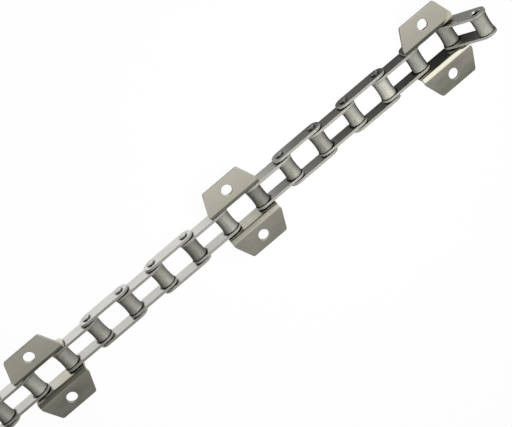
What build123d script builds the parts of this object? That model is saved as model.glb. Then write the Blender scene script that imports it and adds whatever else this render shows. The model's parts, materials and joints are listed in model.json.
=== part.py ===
from build123d import *
import os
from math import cos, radians, sin

# Steel roller chain for a conveyor, with a pair of bent attachment plates on every third pin link.
# The chain runs along X, its pins lie along Y and +Z is up. It rests on the lower edges of its
# plates, apart from its first roller link, which is folded up. The origin is on that floor, midway
# along the chain and midway between its sides. All sizes are in millimetres.

# The chain as a whole
PITCH = 38.4                # from one pin to the next
ROLLER_LINKS = 9            # a roller link at each end
RAISE_DEG = 57.0            # how far the first roller link is folded up
ATTACHMENT_EVERY = 3        # every third pin link has attachments, from the first one on

# Side plates
PLATE_T = 2.6
PLATE_H = 17.3
INNER_WIDTH = 19.3          # between the two plates of a roller link
SIDE_PLAY = 1.0             # between a roller link's plate and the pin link's plate beside it
PLATE_EDGE = 0.35           # chamfer round a plate's outer face

# Pins, bushes and rollers
PIN_D = 7.16
PIN_FIT = 0.07              # radial clearance of a pin in its bush
BUSH_WALL = 1.65
BUSH_PROUD = 0.15           # how far a bush stands out of its plates
ROLLER_D = 15.88            # at its two rims
ROLLER_WAIST = 0.6          # how far it draws in between them
ROLLER_FIT = 0.05           # radial clearance of a roller on its bush
ROLLER_PLAY = 0.35          # from a roller's end to the plate beside it
ROLLER_CHAMFER = 0.6
HEAD_D = 8.8                # riveted pin head
HEAD_T = 1.5
HEAD_CHAMFER = 0.6

# Attachment plates: a pin link plate whose upper edge is bent outwards to a level flange
FLANGE_TOP = 14.4           # from the pin axis to the flange's upper face
BEND_R = 2.0                # inside the bend
FLANGE_SPAN = 80.4          # over both flanges of a link
FLANGE_END = 39.4           # flange's length at its outer edge
FLANGE_SHOULDER = 4.8       # full-length strip beside the plate, before the flange tapers
FLANGE_CORNER = 3.0
SHOULDER_CORNER = 2.0
BOLT_SPAN = 57.6            # across the chain, from bolt hole to bolt hole
BOLT_HOLE_D = 10.5

# Worked out from the sizes above
PIN_LINKS = ROLLER_LINKS - 1
ROLLERS = 2 * ROLLER_LINKS
PLATE_LENGTH = PITCH + PLATE_H
PIN_R = PIN_D / 2
BUSH_BORE_R = PIN_R + PIN_FIT
BUSH_R = BUSH_BORE_R + BUSH_WALL
ROLLER_BORE_R = BUSH_R + ROLLER_FIT
ROLLER_LENGTH = INNER_WIDTH - 2 * ROLLER_PLAY
ROLLER_PLATE_Y = INNER_WIDTH / 2
BUSH_LENGTH = INNER_WIDTH + 2 * (PLATE_T + BUSH_PROUD)
PIN_PLATE_Y = ROLLER_PLATE_Y + PLATE_T + SIDE_PLAY
PIN_BODY_Y = PIN_PLATE_Y + PLATE_T
AXIS_Z = PLATE_H / 2
HALF_PITCH = PITCH / 2
FLANGE_OUT = FLANGE_SPAN / 2 - PIN_PLATE_Y
BOLT_OUT = BOLT_SPAN / 2 - PIN_PLATE_Y


def roller_axes():
    """Places of the roller axes from the folded end: the first one up in the air, the rest level."""
    rise = radians(RAISE_DEG)
    second_x = (PIN_LINKS * PITCH * 2 - PITCH * cos(rise)) / 2
    folded = Vector(second_x + PITCH * cos(rise), 0, AXIS_Z + PITCH * sin(rise))
    level = [Vector(second_x - PITCH * step, 0, AXIS_Z) for step in range(ROLLERS - 1)]
    return [folded] + level


def link_places(axes):
    """One location for each link: midway between its two rollers, local +X to the folded end."""
    places = []
    for first, second in zip(axes, axes[1:]):
        middle = (first + second) / 2
        turn = RAISE_DEG if first is axes[0] else 0
        places.append(Location(middle) * Rot(0, -turn, 0))
    return places


def pin_circles(radius):
    """A circle on each of the link's two pin axes."""
    return [Pos(side * HALF_PITCH, 0) * Circle(radius) for side in (-1, 1)]


def flat_plate(hole_r):
    """Obround plate with its inner face on y = 0 and its outer edge chamfered."""
    outline = SlotCenterToCenter(PITCH, PLATE_H) - pin_circles(hole_r)
    plate = extrude(Plane.XZ * outline, -PLATE_T)
    outer_face = plate.faces().sort_by(Axis.Y)[-1]
    return chamfer(outer_face.outer_wire().edges(), PLATE_EDGE)


def flange_outline():
    """The attachment seen from above: full length beside the plate, then tapered and rounded."""
    half_length = PLATE_LENGTH / 2
    half_end = FLANGE_END / 2
    shoulder = PLATE_T + FLANGE_SHOULDER
    corners = [
        (-half_length, 0),
        (half_length, 0),
        (half_length, shoulder),
        (half_end, FLANGE_OUT),
        (-half_end, FLANGE_OUT),
        (-half_length, shoulder),
    ]
    outline = make_face(Polyline(*corners, close=True))
    by_y = outline.vertices().group_by(Axis.Y)
    outline = fillet(by_y[-1], FLANGE_CORNER)
    shoulders = [corner for corner in outline.vertices() if abs(corner.Y - shoulder) < PLATE_EDGE]
    return fillet(shoulders, SHOULDER_CORNER)


def attachment_plate():
    """Pin link plate bent outwards above the pins, with its inner face on y = 0."""
    section = make_face(Polyline(
        (0, -PLATE_H / 2),
        (PLATE_T, -PLATE_H / 2),
        (PLATE_T, FLANGE_TOP - PLATE_T),
        (FLANGE_OUT, FLANGE_TOP - PLATE_T),
        (FLANGE_OUT, FLANGE_TOP),
        (0, FLANGE_TOP),
        close=True,
    ))
    by_y = section.vertices().sort_by(Axis.Y)
    hollow = [corner for corner in by_y if corner.X == PLATE_T and corner.Y > 0]
    section = fillet(hollow, BEND_R)
    crest = [corner for corner in section.vertices() if corner.X == 0 and corner.Y > 0]
    section = fillet(crest, BEND_R + PLATE_T)
    strip = extrude(Plane.YZ * section, PLATE_LENGTH / 2, both=True)
    wall = SlotCenterToCenter(PITCH, PLATE_H)
    wall += Pos(0, FLANGE_TOP / 2) * Rectangle(PLATE_LENGTH, FLANGE_TOP)
    strip &= extrude(Plane.XZ * wall, -FLANGE_OUT)
    strip &= extrude(flange_outline(), FLANGE_TOP + PLATE_H / 2, both=True)
    strip -= extrude(Plane.XZ * Sketch(pin_circles(PIN_R)), -PLATE_T)
    return strip - Pos(0, BOLT_OUT, FLANGE_TOP) * Cylinder(BOLT_HOLE_D / 2, 2 * PLATE_T)


def turned(profile):
    """Spin half a (radius, y) profile about the Y axis, and mirror it to make the other half."""
    half = revolve(make_face(Polyline(*profile, close=True)), Axis.Y)
    return half + mirror(half, Plane.XZ)


def pin():
    """Pin along Y, as thick through both plates, with a riveted head on each of them."""
    head_r = HEAD_D / 2
    end_y = PIN_BODY_Y + HEAD_T
    return turned([
        (0, 0),
        (PIN_R, 0),
        (PIN_R, PIN_BODY_Y),
        (head_r, PIN_BODY_Y),
        (head_r, end_y - HEAD_CHAMFER),
        (head_r - HEAD_CHAMFER, end_y),
        (0, end_y),
    ])


def bush():
    """Plain tube along Y, pressed through both plates of a roller link."""
    return turned([
        (BUSH_BORE_R, 0),
        (BUSH_R, 0),
        (BUSH_R, BUSH_LENGTH / 2),
        (BUSH_BORE_R, BUSH_LENGTH / 2),
    ])


def roller():
    """Roller along Y, slightly waisted and with chamfered ends, free to turn on its bush."""
    rim_r = ROLLER_D / 2
    end_y = ROLLER_LENGTH / 2
    rim_y = end_y - ROLLER_CHAMFER
    waist = ThreePointArc((rim_r, -rim_y), (rim_r - ROLLER_WAIST, 0), (rim_r, rim_y))
    ends_and_bore = Polyline(
        (rim_r, rim_y),
        (rim_r - ROLLER_CHAMFER, end_y),
        (ROLLER_BORE_R, end_y),
        (ROLLER_BORE_R, -end_y),
        (rim_r - ROLLER_CHAMFER, -end_y),
        (rim_r, -rim_y),
    )
    return revolve(make_face(waist + ends_and_bore), Axis.Y)


def both_sides(plate, inner_face_y):
    """The left plate at +Y and its mirror image, the right plate, at -Y."""
    left = Pos(0, inner_face_y, 0) * plate
    return [left, mirror(left, Plane.XZ)]


def both_ends(piece):
    """The same piece on each of a link's two pin axes."""
    return [Pos(side * HALF_PITCH, 0, 0) * piece for side in (-1, 1)]


def roller_link():
    """One roller link in its own frame: two plates and the two bushes pressed into them."""
    return {
        "plates": both_sides(flat_plate(BUSH_R), ROLLER_PLATE_Y),
        "bushes": both_ends(bush()),
    }


def plain_pin_link():
    """One pin link in its own frame: two flat plates and two riveted pins."""
    return {
        "plates": both_sides(flat_plate(PIN_R), PIN_PLATE_Y),
        "pins": both_ends(pin()),
    }


def attachment_link():
    """A pin link whose two plates are bent out to flanges, each plate a node of its own."""
    left, right = both_sides(attachment_plate(), PIN_PLATE_Y)
    return {
        "left_plate": [left],
        "right_plate": [right],
        "pins": both_ends(pin()),
    }


def write(node, solids):
    """One STEP file for each node."""
    group = solids[0] if len(solids) == 1 else Compound(children=solids)
    export_step(group, f"parts/{node}.step")


def write_link(name, pieces, place):
    for piece, solids in pieces.items():
        write(f"{name}_{piece}", [place * solid for solid in solids])


def build():
    os.makedirs("parts", exist_ok=True)
    axes = roller_axes()
    places = link_places(axes)
    one_roller = roller()
    for number, axis in enumerate(axes, start=1):
        write(f"roller_{number:02d}", [Location(axis) * one_roller])
    roller_pieces = roller_link()
    for number, place in enumerate(places[0::2], start=1):
        write_link(f"roller_link_{number}", roller_pieces, place)
    plain_pieces = plain_pin_link()
    attachment_pieces = attachment_link()
    for number, place in enumerate(places[1::2], start=1):
        if number % ATTACHMENT_EVERY == 1:
            write_link(f"attachment_link_{number}", attachment_pieces, place)
        else:
            write_link(f"pin_link_{number}", plain_pieces, place)


build()
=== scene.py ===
# %% [markdown]
# # A roller chain with bent attachments
#
# A conveyor chain of this kind is a row of flat steel links. Roller links and pin links take turns,
# and every third pin link has plates that are bent outwards to a flange with a bolt hole.
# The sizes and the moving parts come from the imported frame. This lesson gives every piece the shape
# and the finish that the real one has: rounded blanks, riveted heads, turned rollers, rolled sheet.

# %% Load the frame
import json
from math import ceil, cos, pi, radians, sin

import bmesh
import bpy
import numpy as np
from mathutils import Matrix, Vector

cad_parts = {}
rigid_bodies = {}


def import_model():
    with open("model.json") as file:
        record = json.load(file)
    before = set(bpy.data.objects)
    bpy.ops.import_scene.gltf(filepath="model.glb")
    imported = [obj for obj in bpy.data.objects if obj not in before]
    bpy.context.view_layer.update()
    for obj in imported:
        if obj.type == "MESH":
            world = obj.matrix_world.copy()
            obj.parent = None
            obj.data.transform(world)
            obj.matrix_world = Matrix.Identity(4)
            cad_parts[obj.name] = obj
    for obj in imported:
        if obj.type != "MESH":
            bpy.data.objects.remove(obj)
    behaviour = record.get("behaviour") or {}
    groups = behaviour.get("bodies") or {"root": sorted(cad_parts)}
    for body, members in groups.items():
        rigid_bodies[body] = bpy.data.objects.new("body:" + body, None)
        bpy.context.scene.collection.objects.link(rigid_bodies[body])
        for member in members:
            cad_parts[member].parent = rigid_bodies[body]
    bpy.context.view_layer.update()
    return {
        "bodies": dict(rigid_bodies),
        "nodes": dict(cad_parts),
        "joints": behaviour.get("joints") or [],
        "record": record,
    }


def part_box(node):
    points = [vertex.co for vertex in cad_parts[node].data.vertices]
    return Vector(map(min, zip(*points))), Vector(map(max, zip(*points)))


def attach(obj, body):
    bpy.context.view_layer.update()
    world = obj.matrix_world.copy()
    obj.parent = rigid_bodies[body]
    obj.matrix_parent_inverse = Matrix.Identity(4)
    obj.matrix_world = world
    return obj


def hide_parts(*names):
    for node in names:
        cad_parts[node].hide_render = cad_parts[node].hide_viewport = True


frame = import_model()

# %% [markdown]
# ## Reading the sizes
#
# A chain is drawn from its pitch, the distance between two pins. The frame's joints say where every
# pin axis is, and the boxes round its nodes give the other sizes. Shapes are worked out in millimetres
# in a link's own space, with its pins on the X axis, and are put in place at the end. That way one
# shape serves every link, and the folded link needs no work of its own.

# %% Pin axes and links
MM = 0.001
joint_places = {joint["name"]: np.array(joint["pos_m"]) for joint in frame["joints"]}
roller_names = sorted(name for name in frame["nodes"] if name[:-2] == "roller_")
axes = [joint_places[name.replace("roller_", "roller_spin_")] for name in roller_names]
PITCH = np.linalg.norm(axes[2] - axes[1]) / MM
print(len(axes), "pin axes, pitch", round(PITCH, 2), "mm")


# %% Sizes of the pieces, in millimetres
def side_of(node):
    """Lowest and highest corner of a frame node, in millimetres."""
    low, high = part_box(node)
    return np.array(low) / MM, np.array(high) / MM


pin_plate_low, pin_plate_high = side_of("pin_link_2_plates")
roller_plate_low, roller_plate_high = side_of("roller_link_2_plates")
flange_low, flange_high = side_of("attachment_link_4_left_plate")
head_low, head_high = side_of("pin_link_2_pins")
bush_low, bush_high = side_of("roller_link_2_bushes")
roller_low, roller_high = side_of(roller_names[1])
mounts = {mount["name"]: mount for mount in frame["record"]["mounts"]}

AXIS_Z = axes[1][2] / MM
PLATE_H = pin_plate_high[2] - pin_plate_low[2]
PIN_PLATE_Y = flange_low[1]
PLATE_T = pin_plate_high[1] - PIN_PLATE_Y
ROLLER_PLATE_Y = roller_plate_high[1] - PLATE_T
BUSH_R = (bush_high[2] - bush_low[2]) / 2
BUSH_BORE_R = mounts["level_end_bush"]["dims"]["r_mm"]
PIN_FIT = 0.07
PIN_R = BUSH_BORE_R - PIN_FIT
ROLLER_FIT = 0.05
ROLLER_BORE_R = BUSH_R + ROLLER_FIT
ROLLER_R = (roller_high[2] - roller_low[2]) / 2
HEAD_R = (head_high[2] - head_low[2]) / 2
print("plate", round(PLATE_H, 2), "x", round(PLATE_T, 2), "mm, roller", round(2 * ROLLER_R, 2), "mm")


# %% Place of each link
def link_space(number):
    """Turn and middle of link NUMBER: its X axis runs from its second pin to its first one."""
    first, second = axes[number - 1], axes[number]
    along = (first - second) / np.linalg.norm(first - second)
    across = np.array([0.0, 1.0, 0.0])
    return np.stack([along, across, np.cross(along, across)], axis=1), (first + second) / 2


def to_frame(points, space):
    """Points of a link's own space, in millimetres, brought into the frame, in metres."""
    turn, middle = space
    return points * MM @ turn.T + middle


# %% [markdown]
# ## From arrays to a piece
#
# Every piece is made the same way: a numpy array of points, an array of four-cornered faces and a few
# values for each point that its finish reads later. `own_place` is the point's place on the piece
# before it was bent or turned, so that rolling lines and machining rings follow the steel.
# `edge_gap` is how far it lies from the nearest edge, where handling wears the surface bright.

# %% Make a mesh piece
def grid_faces(rows, columns, closed_rows=False, closed_columns=False):
    """Corner numbers of the faces between the points of a grid, which may close on itself."""
    row = np.arange(rows if closed_rows else rows - 1)[:, None]
    column = np.arange(columns if closed_columns else columns - 1)[None, :]
    next_row, next_column = (row + 1) % rows, (column + 1) % columns
    corners = [row * columns + column, next_row * columns + column]
    corners += [next_row * columns + next_column, row * columns + next_column]
    return np.stack(corners, axis=-1).reshape(-1, 4)


def joined(parts):
    """Several (points, faces, values) parts as one, with the face corners counted on."""
    starts = np.cumsum([0] + [len(points) for points, _, _ in parts[:-1]])
    points = np.concatenate([part[0] for part in parts])
    faces = np.concatenate([part[1] + start for part, start in zip(parts, starts)])
    values = {key: np.concatenate([part[2][key] for part in parts]) for key in parts[0][2]}
    return points, faces, values


def new_piece(name, node, body, part, materials):
    """A mesh piece that stands for a frame node, rides on its body and takes the finishes it is given."""
    points, faces, values = part
    mesh = bpy.data.meshes.new(name)
    mesh.from_pydata(points.tolist(), [], faces.tolist())
    for key, value in values.items():
        kind = "FLOAT_VECTOR" if value.ndim == 2 else "FLOAT"
        attribute = mesh.attributes.new(key, kind, "POINT")
        attribute.data.foreach_set("vector" if value.ndim == 2 else "value", value.ravel())
    weld(mesh)
    piece = bpy.data.objects.new(name, mesh)
    bpy.context.scene.collection.objects.link(piece)
    for material in materials:
        mesh.materials.append(material)
    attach(piece, body)
    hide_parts(node)
    return piece


def weld(mesh):
    """Merges the points that lie in one place, turns all faces outwards and shades them smooth."""
    shell = bmesh.new()
    shell.from_mesh(mesh)
    bmesh.ops.remove_doubles(shell, verts=shell.verts, dist=0.001 * MM)
    bmesh.ops.recalc_face_normals(shell, faces=shell.faces)
    shell.to_mesh(mesh)
    shell.free()
    mesh.shade_smooth()


# %% [markdown]
# ## Outlines
#
# Plates are cut from sheet with a die, and turned parts have small rounded corners, so both start from
# the same thing: straight stretches joined by arcs. One function draws them all, from corner points
# that each carry their own radius. Points stand close enough together for a smooth edge.

# %% Rounded outlines
SPACING = 1.2


def stretch(start, end, spacing):
    """Even points from start up to, but without, end, at most a spacing apart. None if the two meet."""
    length = np.linalg.norm(end - start)
    count = ceil(length / spacing - 0.001)
    return start + (end - start) * np.arange(count)[:, None] / max(count, 1)


def corner_arc(before, corner, after, radius, step=radians(7)):
    """Points of the arc that rounds a corner: it touches both of the corner's straight sides."""
    back = (before - corner) / np.linalg.norm(before - corner)
    on = (after - corner) / np.linalg.norm(after - corner)
    half = np.arccos(np.clip(back @ on, -1, 1)) / 2
    middle = corner + (back + on) / np.linalg.norm(back + on) * radius / sin(half)
    spoke = corner + back * radius / np.tan(half) - middle
    turn = np.sign(back[1] * on[0] - back[0] * on[1]) * (pi - 2 * half)
    angle = np.linspace(0, turn, ceil(abs(turn) / step) + 1)[:, None]
    sideways = np.array([-spoke[1], spoke[0]])
    return middle + spoke * np.cos(angle) + sideways * np.sin(angle)


def rounded_outline(corners, spacing=SPACING, closed=True):
    """Outline through (x, y, radius) corners: an arc at each one, and straight stretches between."""
    places = np.array([corner[:2] for corner in corners], float)
    arcs = [place[None] for place in places]
    for number, (x, y, radius) in enumerate(corners):
        if radius:
            after = (number + 1) % len(corners)
            arcs[number] = corner_arc(places[number - 1], places[number], places[after], radius)
    outline = []
    for arc, next_arc in zip(arcs, arcs[1:] + arcs[:1]):
        outline += [arc[:-1], stretch(arc[-1], next_arc[0], spacing)]
    if not closed:
        outline = outline[:-2] + [arcs[-1]]
    return np.concatenate(outline)


# %% [markdown]
# ## Flat plates
#
# A link plate is an obround blank with two holes. Filling a shape with holes with neat quads is hard in
# one go, so it is cut through the middle: each half is a ring between its round hole and its own
# boundary. The sheet is drawn at half its thickness. Solidify then gives it its walls, and Bevel rounds
# the rim as the die does. The rim gets its own material, because a sheared edge looks unlike a rolled face.

# %% A ring between a hole and a boundary
EDGE_RINGS = np.array([0.0, 0.5, 1.1])


def ring_cell(boundary, centre, hole_r):
    """Ring of quads: spokes run from the hole to each boundary point, and rings cross them, close
    together beside both edges and evenly between."""
    spokes = boundary - centre
    reach = np.linalg.norm(spokes, axis=1)
    gap = reach - hole_r
    beside_hole = np.outer(EDGE_RINGS, np.ones_like(gap))
    between = EDGE_RINGS[-1] + np.outer([1 / 3, 2 / 3], gap - 2 * EDGE_RINGS[-1])
    beside_edge = gap - np.outer(EDGE_RINGS[::-1], np.ones_like(gap))
    distance = hole_r + np.concatenate([beside_hole, between, beside_edge])
    points = centre + distance[..., None] * spokes / reach[:, None]
    return points.reshape(-1, 2), grid_faces(len(distance), len(boundary), closed_columns=True)


def gap_to(points, outline):
    """Distance from each point to the nearest place on a closed outline, stretch by stretch."""
    along = np.roll(outline, -1, axis=0) - outline
    offset = points[:, None] - outline
    share = np.clip((offset * along).sum(-1) / (along ** 2).sum(-1), 0, 1)
    return np.linalg.norm(offset - share[..., None] * along, axis=-1).min(axis=1)


# %% The flat blank
HALF_PITCH = PITCH / 2
PLATE_R = PLATE_H / 2
HALF_LENGTH = HALF_PITCH + PLATE_R


def mirrored(cell):
    """The same cell on the other side of x = 0."""
    points, faces = cell
    return points * (-1, 1), faces


def blank(cells, outline, holes):
    """Cells joined to one flat sheet, with each point's gap to the nearest edge."""
    sheets = [(points, faces, {}) for points, faces in cells]
    points, faces, _ = joined(sheets)
    gap = gap_to(points, outline)
    for centre, radius in holes:
        gap = np.minimum(gap, np.abs(np.linalg.norm(points - centre, axis=1) - radius))
    return points, faces, gap


def flat_blank(hole_r):
    """Obround blank with a hole on each pin axis, as (x, z) points."""
    right_end = [(HALF_LENGTH, -PLATE_R, PLATE_R), (HALF_LENGTH, PLATE_R, PLATE_R)]
    left_end = [(-x, z, radius) for x, z, radius in reversed(right_end)]
    half = [(0, -PLATE_R, 0), *right_end, (0, PLATE_R, 0)]
    cell = ring_cell(rounded_outline(half), np.array([HALF_PITCH, 0]), hole_r)
    outline = rounded_outline(right_end + left_end)
    holes = [((side * HALF_PITCH, 0), hole_r) for side in (-1, 1)]
    return blank([cell, mirrored(cell)], outline, holes)


# %% [markdown]
# ## Attachment plates
#
# An attachment plate is cut flat as well, and then bent over a die. So it is drawn flat here too, its
# developed length measured along the middle of the sheet: two ring cells round the pin holes, a strip
# for the bend, and one ring cell round the bolt hole. Bending it is a single formula on all points.

# %% The developed blank
BEND_R = 2.0
BEND_MIDDLE_R = BEND_R + PLATE_T / 2
FLANGE_TOP = mounts["attachment_4_seat"]["pos_m"][2] / MM - AXIS_Z
BEND_START = FLANGE_TOP - PLATE_T - BEND_R
BEND_END = BEND_START + BEND_MIDDLE_R * pi / 2
BOLT_DIMS = mounts["attachment_4_bolts"]["dims"]


def developed(out):
    """Place along the blank of a flange point that ends up OUT from the plate's inner face."""
    return out - BEND_R - PLATE_T + BEND_END


FLANGE_END = developed(flange_high[1] - PIN_PLATE_Y)
FLANGE_HALF_END = 19.7
FLANGE_SHOULDER = 4.8
SHOULDER = developed(PLATE_T + FLANGE_SHOULDER)
SHOULDER_CORNER = 2.0
FLANGE_CORNER = 3.0
BOLT_PLACE = (0, developed(BOLT_DIMS["spacing_y_mm"] / 2 - PIN_PLATE_Y))
BOLT_HOLE_R = BOLT_DIMS["hole_r_mm"]
FLANGE = [
    (HALF_LENGTH, SHOULDER, SHOULDER_CORNER),
    (FLANGE_HALF_END, FLANGE_END, FLANGE_CORNER),
    (-FLANGE_HALF_END, FLANGE_END, FLANGE_CORNER),
    (-HALF_LENGTH, SHOULDER, SHOULDER_CORNER),
]


def attachment_blank():
    """The attachment before bending, as (x, developed length) points."""
    foot = (HALF_LENGTH, -PLATE_R, PLATE_R)
    lower = [(0, -PLATE_R, 0), foot, (HALF_LENGTH, BEND_START, 0), (0, BEND_START, 0)]
    pin_cell = ring_cell(rounded_outline(lower), np.array([HALF_PITCH, 0]), PIN_R)
    upper = [(-HALF_LENGTH, BEND_END, 0), (0, BEND_END, 0), (HALF_LENGTH, BEND_END, 0)] + FLANGE
    bolt_cell = ring_cell(rounded_outline(upper), np.array(BOLT_PLACE), BOLT_HOLE_R)
    outline = rounded_outline([(-HALF_LENGTH, -PLATE_R, PLATE_R), foot] + FLANGE)
    holes = [((side * HALF_PITCH, 0), PIN_R) for side in (-1, 1)] + [(BOLT_PLACE, BOLT_HOLE_R)]
    return blank([pin_cell, mirrored(pin_cell), bend_strip(), bolt_cell], outline, holes)


def bend_strip(steps=9):
    """Grid of the strip that is bent, with the same points along x as the cells beside it."""
    right = stretch(np.array([0.0, 0.0]), np.array([HALF_LENGTH, 0.0]), SPACING)[:, 0]
    x = np.concatenate([-right[:0:-1], right])
    x = np.concatenate([[-HALF_LENGTH], x, [HALF_LENGTH]])
    length = np.linspace(BEND_START, BEND_END, steps + 1)
    points = np.stack(np.meshgrid(x, length), axis=-1).reshape(-1, 2)
    return points, grid_faces(len(length), len(x))


def bent(sheet):
    """Distance out and height of the blank's points: straight up to the bend, round it by the length
    run over the middle radius, and then outwards by what is left."""
    length = sheet[:, 1]
    angle = np.clip((length - BEND_START) / BEND_MIDDLE_R, 0, pi / 2)
    out = PLATE_T / 2 + BEND_MIDDLE_R * (1 - np.cos(angle)) + np.clip(length - BEND_END, 0, None)
    height = np.minimum(length, BEND_START) + BEND_MIDDLE_R * np.sin(angle)
    return out, height


# %% [markdown]
# ## Turned pieces
#
# Rollers, bushes and pins are turned, and so is their mesh: a profile of (radius, y) points is carried
# round the Y axis. A roller is slightly waisted, so its outside draws in to the middle. A bush has a wide
# chamfer at each mouth, which leads the pin in and catches the light at the open end of the chain. A
# pin's ends are upset with a four-point punch, which is what keeps it in its plates: four grooves, pressed
# into the head in a cross, tell a riveted pin from a plain rod. Boolean cuts could make them too, but a
# formula that moves the head's own points leaves clean faces.

# %% Turn a profile
END_FADE = 0.45


def turned(profile, corners, around=72, pressed_in=None, closed=True, end_depth=0.0):
    """Surface (r cos a, y, r sin a) for each profile point (r, y) and each of the angles a round the
    axis. pressed_in(r, y, a) gives a depth that moves the surface towards the piece's middle. A point's
    gap is its distance in the section to the nearest of the piece's corners, given as (r, y), and its
    on_end is 0 on the piece's side and 1 on its ends, down to the given depth."""
    angle = np.arange(around) * 2 * pi / around
    radius, y = profile[:, :1], profile[:, 1:]
    across = y + 0 * angle
    if pressed_in:
        across = across - np.sign(y) * pressed_in(radius, y, angle)
    points = np.stack([radius * np.cos(angle), across, radius * np.sin(angle)], axis=-1)
    faces = grid_faces(len(profile), around, closed_rows=closed, closed_columns=True)
    in_section = np.abs(profile)[:, None] - np.array(corners)
    gap = np.repeat(np.linalg.norm(in_section, axis=-1).min(axis=1), around)
    from_end = np.abs(y).max() - np.abs(y[:, 0])
    on_end = np.repeat(np.clip(1 - (from_end - end_depth) / END_FADE, 0, 1), around)
    return points.reshape(-1, 3), faces, {"edge_gap": gap, "on_end": on_end}


# %% Roller, bush and pin profiles
ROLLER_END = roller_high[1]
ROLLER_WAIST = 0.6
ROLLER_MOUTH, ROLLER_CORNER = 0.3, 0.6
BUSH_END = bush_high[1]
BUSH_MOUTH, BUSH_CORNER = 1.35, 0.25
HEAD_END = head_high[1]
HEAD_DOME = 0.2
HEAD_CORNER, HEAD_FOOT = 0.55, 0.15
PIN_BODY_Y = PIN_PLATE_Y + PLATE_T
GROOVE_DEPTH = 1.2
GROOVE_FROM, GROOVE_TO = 0.12, 0.88


def tube_profile(bore_r, outer_r, end, mouth, corner_r, waist=0.0):
    """Section of a tube, with a chamfer at the mouths of its bore and rounded corners outside. Between
    those its outside draws in by waist * (1 - (y / Y)^2), where Y is where the corners begin."""
    far_end = [(outer_r, end, corner_r), (bore_r + mouth, end, 0), (bore_r, end - mouth, 0)]
    far_end.append((bore_r, end - mouth - END_FADE, 0))
    near_end = [(r, -y, radius) for r, y, radius in reversed(far_end)]
    profile = rounded_outline(near_end + far_end)
    outside = profile[:, 0] > outer_r - 0.01
    profile[outside, 0] -= waist * (1 - (profile[outside, 1] / (end - corner_r)) ** 2)
    return profile


def pin_profile():
    """Half section of a pin: a slightly domed head at each end, wider than the shank between them."""
    top = [(0, HEAD_END, 0), (HEAD_R, HEAD_END - HEAD_DOME, HEAD_CORNER)]
    head = top + [(HEAD_R, PIN_BODY_Y, HEAD_FOOT), (PIN_R, PIN_BODY_Y, 0)]
    other_head = [(r, -y, radius) for r, y, radius in reversed(head)]
    return rounded_outline(head + other_head, spacing=0.5, closed=False)


def punch_grooves(radius, y, angle):
    """Depth of a cross of four grooves: each one is a narrow cosine lobe round the head, and fades in
    and out along the radius. The shank isn't touched."""
    lobe = np.abs(np.cos(2 * angle)) ** 5
    share = np.clip((radius / HEAD_R - GROOVE_FROM) / (GROOVE_TO - GROOVE_FROM), 0, 1)
    on_head = np.abs(y) > PIN_BODY_Y + 0.5 * (HEAD_END - PIN_BODY_Y)
    return GROOVE_DEPTH * lobe * np.sin(pi * share) ** 0.7 * on_head


# %% [markdown]
# ## Steel, seen close
#
# All pieces are plain steel, and what sets them apart is how they were worked. Four effects do that, and
# each is a node group that several finishes share: the grain of rolled sheet, the rings of a lathe, the
# marks of handling, and bright worn edges. The groups only put out numbers, which the finishes mix.

# %% Node helpers
def node(tree, kind, inputs=(), **settings):
    """Adds a node, sets its fields, and sets or links its inputs, given as {socket: value or output}."""
    made = tree.nodes.new("ShaderNode" + kind)
    for key, value in settings.items():
        setattr(made, key, value)
    for key, value in dict(inputs).items():
        if isinstance(value, bpy.types.NodeSocket):
            tree.links.new(value, made.inputs[key])
        else:
            made.inputs[key].default_value = value
    return made


def calc(tree, operation, *values, clamp=False):
    """Output of a Math node."""
    return node(tree, "Math", dict(enumerate(values)), operation=operation, use_clamp=clamp).outputs[0]


def remap(tree, value, low, high, to_low=0.0, to_high=1.0):
    """Output of a Map Range node that is clamped at both ends."""
    ends = {"Value": value, "From Min": low, "From Max": high, "To Min": to_low, "To Max": to_high}
    return node(tree, "MapRange", ends).outputs["Result"]


def curve(tree, value, stops):
    """Broken line through (value, result) stops, level beyond its two ends."""
    result = stops[0][1]
    for (low, before), (high, after) in zip(stops, stops[1:]):
        result = calc(tree, "ADD", result, remap(tree, value, low, high, 0.0, after - before))
    return result


def scaled(tree, place, scale, turn=(0, 0, 0)):
    """The place after a Mapping node that turns and scales a pattern."""
    return node(tree, "Mapping", {"Vector": place, "Scale": scale, "Rotation": turn}).outputs[0]


def noise(tree, place, scale, detail=2.0, roughness=0.5):
    """Output of a Noise Texture."""
    fields = {"Vector": place, "Scale": scale, "Detail": detail, "Roughness": roughness}
    return node(tree, "TexNoise", fields).outputs["Fac"]


def new_group(name, inputs, outputs):
    """Empty shader group with its sockets, given as {name: kind}, and its two end nodes."""
    tree = bpy.data.node_groups.new(name, "ShaderNodeTree")
    for key, kind in inputs.items():
        tree.interface.new_socket(key, in_out="INPUT", socket_type="NodeSocket" + kind)
    for key, kind in outputs.items():
        tree.interface.new_socket(key, in_out="OUTPUT", socket_type="NodeSocket" + kind)
    return tree, tree.nodes.new("NodeGroupInput").outputs, tree.nodes.new("NodeGroupOutput").inputs


# %% Grain of rolled sheet
def make_rolled_grain():
    """Lines drawn out along the rolling direction, and slow clouds of tone."""
    tree, given, put = new_group("rolled_grain", {"Place": "Vector"}, {"Lines": "Float", "Clouds": "Float"})
    lines = noise(tree, scaled(tree, given["Place"], (0.06, 1.7, 1.7)), 1.0, detail=4.0, roughness=0.65)
    clouds = noise(tree, scaled(tree, given["Place"], (0.035, 0.09, 0.09)), 1.0, detail=3.0)
    tree.links.new(remap(tree, lines, 0.3, 0.7), put["Lines"])
    tree.links.new(remap(tree, clouds, 0.32, 0.68), put["Clouds"])
    return tree


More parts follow.
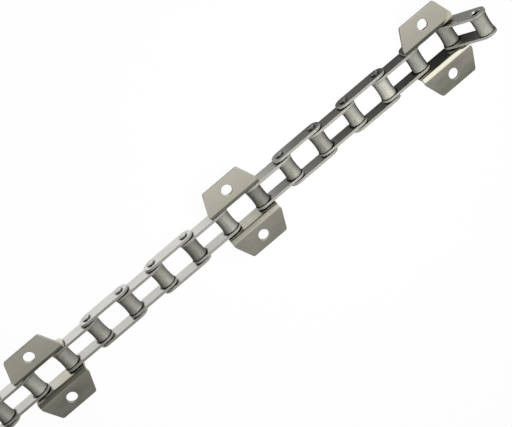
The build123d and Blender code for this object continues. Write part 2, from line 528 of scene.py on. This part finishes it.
# %% Rings of a lathe
def make_lathe_rings():
    """Fine rings: noise along the distance from the axis and along the axis, the same all round it."""
    tree, given, put = new_group("lathe_rings", {"Place": "Vector"}, {"Rings": "Float", "Clouds": "Float"})
    part = node(tree, "SeparateXYZ", {"Vector": given["Place"]}).outputs
    round_axis = node(tree, "CombineXYZ", {"X": part["X"], "Y": part["Z"]}).outputs[0]
    radius = node(tree, "VectorMath", {0: round_axis}, operation="LENGTH").outputs["Value"]
    ring_place = node(tree, "CombineXYZ", {"X": radius, "Y": part["Y"]}).outputs[0]
    rings = noise(tree, ring_place, 3.2, detail=3.0, roughness=0.7)
    clouds = noise(tree, given["Place"], 0.16, detail=3.0)
    tree.links.new(remap(tree, rings, 0.3, 0.7), put["Rings"])
    tree.links.new(remap(tree, clouds, 0.32, 0.68), put["Clouds"])
    return tree


# %% Marks of handling
def scratch_lines(tree, place, turn, width=0.008):
    """Long thin lines: places where stretched noise is within a hair of one value."""
    stretched = scaled(tree, place, (0.05, 0.6, 0.6), turn)
    value = noise(tree, stretched, 1.0, detail=1.0)
    beside = calc(tree, "ABSOLUTE", calc(tree, "SUBTRACT", value, 0.5))
    return remap(tree, beside, 0.0, width, 1.0, 0.0)


def make_handling_marks():
    """Sparse scratches in two directions, cut short by a patchy mask, and small soft dents."""
    outputs = {"Scratches": "Float", "Dents": "Float"}
    tree, given, put = new_group("handling_marks", {"Place": "Vector"}, outputs)
    first = scratch_lines(tree, given["Place"], (0.3, 0.2, 0.9))
    second = scratch_lines(tree, given["Place"], (1.1, 0.5, -0.7))
    patches = remap(tree, noise(tree, given["Place"], 0.13, detail=2.0), 0.5, 0.62)
    lines = calc(tree, "MULTIPLY", calc(tree, "MAXIMUM", first, second), patches)
    dents = remap(tree, noise(tree, given["Place"], 0.35, detail=1.0), 0.62, 0.8)
    tree.links.new(lines, put["Scratches"])
    tree.links.new(dents, put["Dents"])
    return tree


# %% Worn edges
def make_edge_wear():
    """1 at an edge, fading out over a width in millimetres that noise makes uneven."""
    inputs = {"Gap": "Float", "Width": "Float", "Place": "Vector"}
    tree, given, put = new_group("edge_wear", inputs, {"Worn": "Float"})
    uneven = remap(tree, noise(tree, given["Place"], 0.9, detail=3.0), 0.35, 0.65, 0.2, 1.3)
    width = calc(tree, "MULTIPLY", given["Width"], uneven)
    faded = calc(tree, "DIVIDE", given["Gap"], width)
    tree.links.new(calc(tree, "SUBTRACT", 1.0, faded, clamp=True), put["Worn"])
    return tree


rolled_grain = make_rolled_grain()
lathe_rings = make_lathe_rings()
handling_marks = make_handling_marks()
edge_wear = make_edge_wear()
print("shared effects:", [group.name for group in bpy.data.node_groups])


# %% [markdown]
# ## Finishes
#
# Bare steel has no colour of its own to speak of: it shows what is around it. Its finish is in how
# sharply it does so. One function makes them all: a tone that drifts a little, a roughness that follows
# the grain, and a relief of a few thousandths of a millimetre.
#
# What sets them apart is how the steel was worked. Rolled faces mirror softly, and the attachment plates,
# which are of brighter sheet, mirror sharply and have a slow wave. A plate's sheared rim is torn rather
# than rolled, so most of it is matt. Rollers are satin. The roller links go dark round each joint, where
# the next link's plates overlap them: partly an oily film and partly painted shadow. Painted shade also
# makes the rollers' end faces, the bushes' bodies and the pins' sides nearly black. A painted texture
# could hold all this, but a few numbers are easier to change.
#
# Two things on the rollers are tricks for this view, and a better lesson would do without them. Layer Weight
# darkens their tone where they turn away from the eye. Real steel doesn't do that: the dark edge moves
# along when the camera does, and an exported model loses it. And each roller has a shade of its own, set
# one by one until the row looked right here, so part of it only makes up for the light.

# %% The steel finish
def tone_between(tree, share, low, high):
    """A colour mix: low where the share is 0 and high where it is 1. Each is (r, g, b) or an output."""
    ends = {6: low, 7: high}
    for key, tone in ends.items():
        if isinstance(tone, tuple):
            ends[key] = (*tone, 1.0)
    return node(tree, "Mix", {0: share, **ends}, data_type="RGBA").outputs[2]


def steel(name, grain, lines, dark, light, worn, smooth, rough, relief, wave=0.0, ends=None,
          rim=1.0, bare=1.0, oil_and_shadow=None):
    """A finish made of one grain group, handling marks and edge wear. dark and light are the ends of the
    tone's drift, ends is the tone of a turned piece's end faces, and worn that of worn edges. smooth and
    rough are the ends of the roughness, and relief is the depth of the lines in metres. rim is painted
    shade: what is left of the tone where the surface turns away from the eye. Where it is below 1 the tone
    is scaled by own_shade as well, which is partly the piece's own tone and partly painted light and shade.
    bare is the share of bare metal, and wave the depth of the sheet's slow unevenness. The tone given for
    the joints darkens the steel round each joint: partly an oily film and partly painted shadow where the
    next link's plates overlap."""
    material = bpy.data.materials.new(name)
    material.use_nodes = True
    tree = material.node_tree
    surface = tree.nodes["Principled BSDF"]
    surface.inputs["Metallic"].default_value = bare
    place = node(tree, "Attribute", attribute_name="own_place").outputs["Vector"]
    gap = node(tree, "Attribute", attribute_name="edge_gap").outputs["Fac"]
    grains = node(tree, "Group", node_tree=grain)
    marks = node(tree, "Group", node_tree=handling_marks)
    edges = node(tree, "Group", {}, node_tree=edge_wear)
    for group in (grains, marks, edges):
        tree.links.new(place, group.inputs["Place"])
    tree.links.new(gap, edges.inputs["Gap"])
    edges.inputs["Width"].default_value = WEAR_WIDTH
    tone = tone_between(tree, grains.outputs["Clouds"], dark, light)
    if ends:
        on_end = node(tree, "Attribute", attribute_name="on_end").outputs["Fac"]
        tone = tone_between(tree, on_end, tone, ends)
    scratched = calc(tree, "MULTIPLY", marks.outputs["Scratches"], 0.4)
    polished = calc(tree, "MAXIMUM", edges.outputs["Worn"], scratched)
    tone = tone_between(tree, polished, tone, worn)
    # Painted shadow and an oily film: the tone goes dark round each joint, where the next link's plates
    # overlap.
    if oil_and_shadow:
        from_joint = node(tree, "Attribute", attribute_name="joint_gap").outputs["Fac"]
        ragged = calc(tree, "MULTIPLY_ADD", grains.outputs["Lines"], 0.5, from_joint)
        tone = tone_between(tree, remap(tree, ragged, OIL_AND_SHADOW_FROM, OIL_AND_SHADOW_TO, 1.0, 0.0), tone, oil_and_shadow)
    # Painted shade: Layer Weight darkens the tone where the surface turns away from the eye, and own_shade
    # scales it, partly the piece's own tone and partly painted light and shade.
    if rim < 1:
        facing = node(tree, "LayerWeight").outputs["Facing"]
        turned_away = calc(tree, "MULTIPLY_ADD", remap(tree, facing, 0.2, 0.72), rim - 1, 1.0)
        own_shade = node(tree, "Attribute", attribute_name="own_shade").outputs["Fac"]
        shaded = calc(tree, "MULTIPLY", turned_away, own_shade)
        tone = node(tree, "VectorMath", {0: tone, "Scale": shaded}, operation="SCALE").outputs[0]
    tree.links.new(tone, surface.inputs["Base Color"])
    grainy = remap(tree, grains.outputs[lines], 0.0, 1.0, smooth, rough)
    cloudy = calc(tree, "MULTIPLY_ADD", grains.outputs["Clouds"], 0.06, grainy)
    tree.links.new(calc(tree, "MULTIPLY_ADD", polished, -0.08, cloudy), surface.inputs["Roughness"])
    cut = calc(tree, "MULTIPLY_ADD", marks.outputs["Scratches"], -0.7, grains.outputs[lines])
    marked = calc(tree, "MULTIPLY_ADD", marks.outputs["Dents"], -1.2, cut)
    uneven = calc(tree, "MULTIPLY", grains.outputs["Clouds"], wave)
    height = calc(tree, "MULTIPLY_ADD", marked, relief, uneven)
    bump = node(tree, "Bump", {"Height": height, "Strength": 1.0, "Distance": 1.0})
    tree.links.new(bump.outputs["Normal"], surface.inputs["Normal"])
    return material


# %% Finishes of the six kinds of piece
WEAR_WIDTH = 0.8
# The roller links' painted shadow and oily film fade out between these distances from a pin axis, in
# millimetres.
OIL_AND_SHADOW_FROM, OIL_AND_SHADOW_TO = 9.0, 10.2
link_steel = steel("roller_link_steel", rolled_grain, "Lines", (0.62, 0.61, 0.57), (0.7, 0.69, 0.645),
                   (0.78, 0.77, 0.72), 0.26, 0.36, 0.000006, oil_and_shadow=(0.04, 0.037, 0.03))
pin_link_steel = steel("pin_link_steel", rolled_grain, "Lines", (0.62, 0.61, 0.57), (0.7, 0.69, 0.645),
                       (0.78, 0.77, 0.72), 0.26, 0.36, 0.000006)
attachment_steel = steel("attachment_steel", rolled_grain, "Lines", (0.56, 0.54, 0.45), (0.63, 0.61, 0.515),
                         (0.72, 0.7, 0.62), 0.09, 0.12, 0.0000001, wave=0.000003)
sheared_steel = steel("sheared_edge_steel", rolled_grain, "Lines", (0.22, 0.21, 0.19), (0.28, 0.27, 0.24),
                      (0.34, 0.33, 0.3), 0.25, 0.32, 0.000006, bare=0.3)
# The bushes' bodies and bores are nearly black: painted shade in the narrow gaps where they show. Their ends
# are bright.
bush_steel = steel("bush_steel", lathe_rings, "Rings", (0.16, 0.155, 0.145), (0.24, 0.235, 0.22),
                   (0.9, 0.89, 0.86), 0.22, 0.3, 0.000002, ends=(0.95, 0.94, 0.91))
# The pins' shanks and the side walls of their heads are nearly black: painted shade round each head. Their
# ends are bright.
pin_steel = steel("pin_steel", lathe_rings, "Rings", (0.08, 0.08, 0.07), (0.16, 0.155, 0.145),
                  (0.3, 0.29, 0.27), 0.24, 0.36, 0.000004, ends=(0.85, 0.84, 0.79))
# The rollers' end faces are nearly black: painted shade in the gap beside the plates. rim=0.15 paints shade
# where a roller turns away from the eye, and each roller's own shade scales its tone.
roller_steel = steel("roller_steel", lathe_rings, "Rings", (0.4, 0.39, 0.345), (0.47, 0.46, 0.405),
                     (0.3, 0.29, 0.26), 0.42, 0.5, 0.000001, ends=(0.06, 0.055, 0.05), rim=0.15, bare=0.45)


# %% [markdown]
# ## Putting the links together
#
# Now every shape is placed once for each link that has it. A plate is a sheet with no thickness until
# its modifiers give it walls and a rounded rim, and both plates of a link are one piece. Each new piece
# rides on the body of the node that it stands for, so it moves when that link moves. Links could be copies
# of one mesh, but then they would all carry the same marks. Here the pattern starts elsewhere on each
# link's plates, and at one of three places on its turned pieces.

# %% Plates
PATTERN_STEP = 90.0


def joint_places_of(number):
    """Those of a link's pin axes, on its blank, where it meets another link."""
    places = []
    if number > 1:
        places.append((HALF_PITCH, 0))
    if number < len(axes) - 1:
        places.append((-HALF_PITCH, 0))
    return np.array(places)


def plate_part(sheet, out, height, side, number):
    """A plate's middle surface in its link, OUT from the link's middle, on the left or the right side."""
    points, faces, gap = sheet
    y = side * out
    place = np.stack([points[:, 0] + PATTERN_STEP * number, points[:, 1] + PLATE_H * side, 0 * y], axis=1)
    from_axes = np.linalg.norm(points[:, None] - joint_places_of(number), axis=-1).min(axis=1)
    values = {"own_place": place, "edge_gap": gap, "joint_gap": from_axes}
    return to_frame(np.stack([points[:, 0], y, height], axis=1), link_space(number)), faces, values


RIM_ROUNDING = 0.3


def give_thickness(piece):
    """Thickens a plate's middle surface, rounds its rim and keeps the shading of its faces flat."""
    wall = piece.modifiers.new("thickness", "SOLIDIFY")
    wall.thickness = PLATE_T * MM
    wall.offset = 0
    wall.use_even_offset = True
    wall.material_offset_rim = 1
    rim = piece.modifiers.new("rounded_rim", "BEVEL")
    rim.width = RIM_ROUNDING * MM
    rim.segments = 3
    rim.limit_method = "ANGLE"
    rim.angle_limit = radians(60)
    piece.modifiers.new("flat_shading", "WEIGHTED_NORMAL")


def flat_plates(name, number, hole_r, inner_y, finish):
    """Both flat plates of one link, as one piece."""
    sheet = flat_blank(hole_r)
    out = np.full(len(sheet[0]), inner_y + PLATE_T / 2)
    sides = [plate_part(sheet, out, sheet[0][:, 1], side, number) for side in (-1, 1)]
    piece = new_piece(name + "_dressed", name, name.removesuffix("_plates"), joined(sides),
                      [finish, sheared_steel])
    give_thickness(piece)


def bent_plate(name, number, side):
    """One attachment plate."""
    sheet = attachment_blank()
    out, height = bent(sheet[0])
    part = plate_part(sheet, PIN_PLATE_Y + out, height, side, number)
    body = name.removesuffix("_left_plate").removesuffix("_right_plate")
    finishes = [attachment_steel, sheared_steel]
    piece = new_piece(name + "_dressed", name, body, part, finishes)
    give_thickness(piece)


# %% Turned pieces
def turned_part(shape, number, x, shade):
    """A turned shape on one of its link's pin axes, as bright as its shade."""
    points, faces, values = shape
    start = PATTERN_STEP * (number % 3) + x
    values = {"own_place": points + (0, start, 0), **values}
    values["own_shade"] = np.full(len(points), shade)
    return to_frame(points + (x, 0, 0), link_space(number)), faces, values


def turned_pieces(name, number, shape, body, finish, places, shade=1.0):
    """The same turned shape at each of the given places along a link."""
    part = joined([turned_part(shape, number, x, shade) for x in places])
    piece = new_piece(name + "_dressed", name, body, part, [finish])
    piece.modifiers.new("flat_shading", "WEIGHTED_NORMAL")


roller_profile = tube_profile(
    ROLLER_BORE_R, ROLLER_R, ROLLER_END, ROLLER_MOUTH, ROLLER_CORNER, ROLLER_WAIST)
roller_shape = turned(roller_profile, [(ROLLER_R, ROLLER_END)])
bush_profile = tube_profile(BUSH_BORE_R, BUSH_R, BUSH_END, BUSH_MOUTH, BUSH_CORNER)
bush_shape = turned(bush_profile, [(BUSH_R, BUSH_END)], end_depth=BUSH_MOUTH)
pin_shape = turned(pin_profile(), [(HEAD_R, HEAD_END)], 96, punch_grooves, closed=False)
PIN_AXES = (HALF_PITCH, -HALF_PITCH)
# Each roller's own shade is partly its own tone and partly painted light and shade that makes up for the
# light along the row.
ROLLER_SHADES = [0.96, 0.78, 0.85, 1.3, 0.93, 0.72, 0.77, 0.52, 0.9,
                 0.63, 0.93, 0.93, 0.95, 1.05, 1.27, 1.0, 0.9, 1.0]

# %% All the links
for number in range(1, len(axes)):
    if number % 2:
        body = f"roller_link_{(number + 1) // 2}"
        flat_plates(body + "_plates", number, BUSH_R, ROLLER_PLATE_Y, link_steel)
        turned_pieces(body + "_bushes", number, bush_shape, body, bush_steel, PIN_AXES)
        for roller, shade, x in zip(roller_names[number - 1:], ROLLER_SHADES[number - 1:], PIN_AXES):
            turned_pieces(roller, number, roller_shape, roller, roller_steel, [x], shade)
        continue
    plain, bent_link = f"pin_link_{number // 2}", f"attachment_link_{number // 2}"
    body = plain if plain in frame["bodies"] else bent_link
    turned_pieces(body + "_pins", number, pin_shape, body, pin_steel, PIN_AXES)
    if body == plain:
        flat_plates(body + "_plates", number, PIN_R, PIN_PLATE_Y, pin_link_steel)
    else:
        bent_plate(body + "_left_plate", number, 1)
        bent_plate(body + "_right_plate", number, -1)


# %% [markdown]
# ## Camera
#
# The chain is seen from above and from its left side, with a long lens that hardly widens it, and the
# camera is turned about its own axis so that the chain runs up the picture from corner to corner.

# %% Camera
VIEW_AZIMUTH, VIEW_ELEVATION, VIEW_ROLL = radians(92.39), radians(65.26), radians(137.55)
VIEW_DISTANCE = 0.8348
LOOK_AT = Vector((0.0542, -0.014, AXIS_Z * MM))
level_back = Vector((cos(VIEW_AZIMUTH), sin(VIEW_AZIMUTH), 0))
back = level_back * cos(VIEW_ELEVATION) + Vector((0, 0, sin(VIEW_ELEVATION)))
level_right = Vector((0, 0, 1)).cross(back).normalized()
level_up = back.cross(level_right)
right = level_right * cos(VIEW_ROLL) + level_up * sin(VIEW_ROLL)
turn = Matrix((right, back.cross(right), back)).transposed().to_4x4()
camera = bpy.data.objects.new("camera", bpy.data.cameras.new("camera"))
camera.data.lens = 63.2
camera.matrix_world = Matrix.Translation(LOOK_AT + back * VIEW_DISTANCE) @ turn
bpy.context.scene.collection.objects.link(camera)
bpy.context.scene.camera = camera
print("camera at", tuple(round(side, 3) for side in camera.matrix_world.translation), "in metres")


# %% [markdown]
# ## Floor
#
# Steel needs something to mirror, and what it mirrors is most of its look. The plates' upright faces
# mirror the floor, so the floor is a sheet of paper that glows in reflections: brightly at the level end of
# the chain, and dimly near the folded end, where the plates therefore look dark. Beside the folded link it
# brightens a little again. To the eye it is plain white all over. A printed gradient would look grey beside
# the chain, which is why the glow asks what kind of ray sees it. The dark half is the floor's doing and not
# the steel's: the plates of both halves have the same finishes.

# %% Floor
INSIDE_Y, OUTSIDE_Y = 0.01, 0.015
GLOW_OUTSIDE = [(0.0, 1.0), (0.05, 0.8), (0.085, 0.5), (0.124, 0.2), (0.16, 0.14), (0.2, 0.12), (0.24, 0.07),
                (0.26, 0.1), (0.31, 0.27)]
GLOW_INSIDE = [(-0.03, 0.87), (0.047, 0.72), (0.085, 0.28), (0.16, 0.1), (0.28, 0.01)]


def paper(name, grey, shown):
    """Plain pale material that looks white to the camera but takes real shadows: most of what the camera
    sees is an even glow, and the rest is the lit surface itself. Reflections see a glow that changes along
    the chain, by one curve beyond its left edge and by a darker one under it and on its right."""
    material = bpy.data.materials.new(name)
    material.use_nodes = True
    tree = material.node_tree
    tree.nodes.remove(tree.nodes["Principled BSDF"])
    ray = node(tree, "LightPath").outputs
    mirrored_ray = calc(tree, "MAXIMUM", ray["Is Glossy Ray"], ray["Is Transmission Ray"])
    place = node(tree, "SeparateXYZ", {0: node(tree, "TexCoord").outputs["Object"]}).outputs
    outside = remap(tree, place["Y"], INSIDE_Y, OUTSIDE_Y)
    glow_inside = curve(tree, place["X"], GLOW_INSIDE)
    more_outside = calc(tree, "SUBTRACT", curve(tree, place["X"], GLOW_OUTSIDE), glow_inside)
    fading = calc(tree, "MULTIPLY_ADD", more_outside, outside, glow_inside)
    strength = calc(tree, "MULTIPLY_ADD", mirrored_ray, fading, ray["Is Camera Ray"])
    seen = calc(tree, "MAXIMUM", ray["Is Camera Ray"], mirrored_ray)
    lit = node(tree, "BsdfDiffuse", {"Color": (*grey, 1.0)}).outputs[0]
    glow = node(tree, "Emission", {"Color": (1, 1, 1, 1), "Strength": strength}).outputs[0]
    share = calc(tree, "MULTIPLY", seen, shown)
    mix = node(tree, "MixShader", {0: share, 1: lit, 2: glow}).outputs[0]
    tree.links.new(mix, tree.nodes["Material Output"].inputs["Surface"])
    return material


bpy.ops.mesh.primitive_plane_add(size=6, location=(0, 0, -0.0003))
floor = bpy.context.object
floor.name = "floor"
floor.data.materials.append(paper("floor_paper", (0.8, 0.8, 0.8), 0.97))


# %% [markdown]
# ## Room
#
# The upward faces mirror the room overhead. Its brightness is a function of direction: one broken line from
# back to front for each of the left, the middle and the right of the room, blended into each other, and
# dimmer low down and far along the chain. The steep step in each line lies where the flanges mirror it, and
# that is what makes the flanges of one side brighter than those of the other. The stops are set for this
# camera, and the flanges of both sides have the same finish. An image of a studio could do it too, but
# these few stops can be read and changed.

# %% World
world = bpy.data.worlds.new("studio")
bpy.context.scene.world = world
world.use_nodes = True
sky = world.node_tree
way = node(sky, "SeparateXYZ", {0: node(sky, "TexCoord").outputs["Generated"]}).outputs
ABOVE_RIGHT = [(-0.5, 0.16), (-0.422, 0.2), (-0.388, 0.74), (-0.3, 0.8), (-0.2, 1.5), (0.7, 1.6)]
ABOVE_MIDDLE = [(-0.5, 0.28), (-0.435, 0.31), (-0.385, 0.86), (-0.3, 0.95), (-0.1, 0.65), (0.7, 0.6)]
ABOVE_LEFT = [(-0.5, 0.13), (-0.415, 0.17), (-0.366, 0.58), (-0.335, 0.6), (-0.29, 0.12), (0.7, 0.1)]
right, middle, left = (curve(sky, way["Y"], stops) for stops in (ABOVE_RIGHT, ABOVE_MIDDLE, ABOVE_LEFT))
to_middle = remap(sky, way["X"], -0.27, 0.0)
to_right = remap(sky, way["X"], 0.0, 0.27)
above = calc(sky, "MULTIPLY_ADD", calc(sky, "SUBTRACT", middle, left), to_middle, left)
above = calc(sky, "MULTIPLY_ADD", calc(sky, "SUBTRACT", right, middle), to_right, above)
sideways = curve(sky, way["X"], [(-0.9, 0.5), (-0.4, 1.0), (0.35, 1.0), (0.6, 0.4), (0.95, 0.2)])
upwards = curve(sky, way["Z"], [(0.0, 0.4), (0.45, 1.0)])
room = calc(sky, "MULTIPLY", above, calc(sky, "MULTIPLY", sideways, upwards))
camera_ray = node(sky, "LightPath").outputs["Is Camera Ray"]
sky.links.new(calc(sky, "MAXIMUM", camera_ray, room), sky.nodes["Background"].inputs["Strength"])
sky.nodes["Background"].inputs["Color"].default_value = (1, 1, 1, 1)
bpy.context.scene.view_settings.view_transform = "Standard"


# %% [markdown]
# ## Lamps
#
# A faint soft box high above gives the chain its soft shadow. A second one, close above the folded half,
# lights only what is matt: the satin rollers and the sheared rims. It is hidden from reflections, so the
# shiny faces beside them keep their tone. Brighter finishes could do the same, but they would then be
# too bright in the other half.

# %% Lamps
def soft_box(name, place, towards, size, radiance, mirrored=True):
    """Square area lamp of a given brightness. It isn't seen itself, and if not mirrored it isn't seen
    in shiny steel either."""
    lamp = bpy.data.objects.new(name, bpy.data.lights.new(name, "AREA"))
    lamp.data.size = size
    lamp.data.energy = radiance * pi * size ** 2
    place = Vector(place)
    facing = (place - Vector(towards)).to_track_quat("Z", "Y").to_matrix().to_4x4()
    lamp.matrix_world = Matrix.Translation(place) @ facing
    lamp.visible_camera = False
    lamp.visible_glossy = mirrored
    bpy.context.scene.collection.objects.link(lamp)
    return lamp


soft_box("overhead_box", (0.3, 0.5, 1.2), (0, 0, 0), 0.3, 1.0)
soft_box("right_box", (0.16, 0, 0.3), (0.16, 0, 0), 0.2, 9.5, mirrored=False)

# %% Update the scene
bpy.context.view_layer.update()
